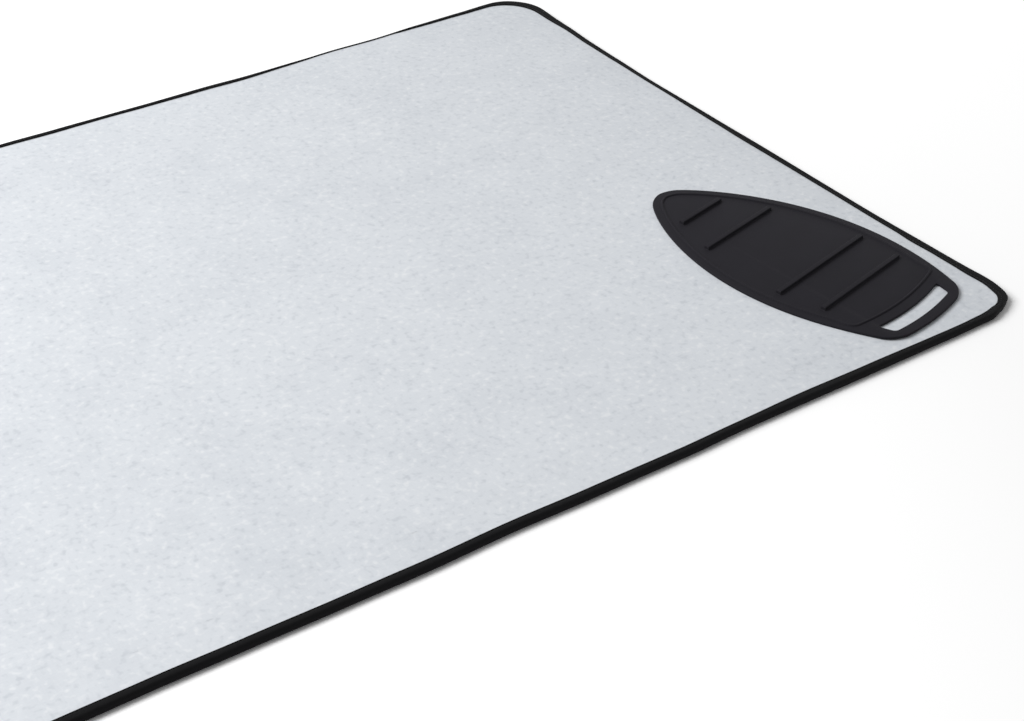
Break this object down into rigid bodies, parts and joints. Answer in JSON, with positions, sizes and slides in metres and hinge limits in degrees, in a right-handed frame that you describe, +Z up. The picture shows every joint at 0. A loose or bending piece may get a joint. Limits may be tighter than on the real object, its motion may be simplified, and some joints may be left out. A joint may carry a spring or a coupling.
{
  "type": "ironing pad",
  "caption": "Padded ironing mat with a tape-bound edge, lying flat, with a loose ribbed silicone iron rest that lifts off.",
  "frame": {"origin": "middle of the bounding box's underside, on the table", "axes": "+X along the mat's long side towards the end with the iron rest, +Y across the mat away from the iron rest's handle, +Z up out of the ironing surface"},
  "size_m": [1.2108, 0.7, 0.0127],
  "materials": {
    "backing_cotton": "plain woven cotton, matt",
    "needled_felt": "needled polyester felt, matt",
    "soft_foam": "thin open-cell foam, matt",
    "silver_cloth": "metal-coated woven cloth, satin",
    "binding_tape": "woven polyester tape, matt",
    "sewing_thread": "twisted polyester thread",
    "silicone": "moulded silicone rubber, matt"
  },
  "bodies": {
    "mat": {"backing_cloth": "backing_cotton", "felt_pad": "needled_felt", "foam_pad": "soft_foam", "top_cover": "silver_cloth", "edge_binding": "binding_tape", "needle_thread": "sewing_thread", "bobbin_thread": "sewing_thread"},
    "iron_rest": {"iron_rest": "silicone"}
  },
  "joints": [
    {"name": "rest_lift", "type": "slide", "parent": "mat", "child": "iron_rest", "axis": [0, 0, 1], "range_m": [0, 0.12]}
  ]
}
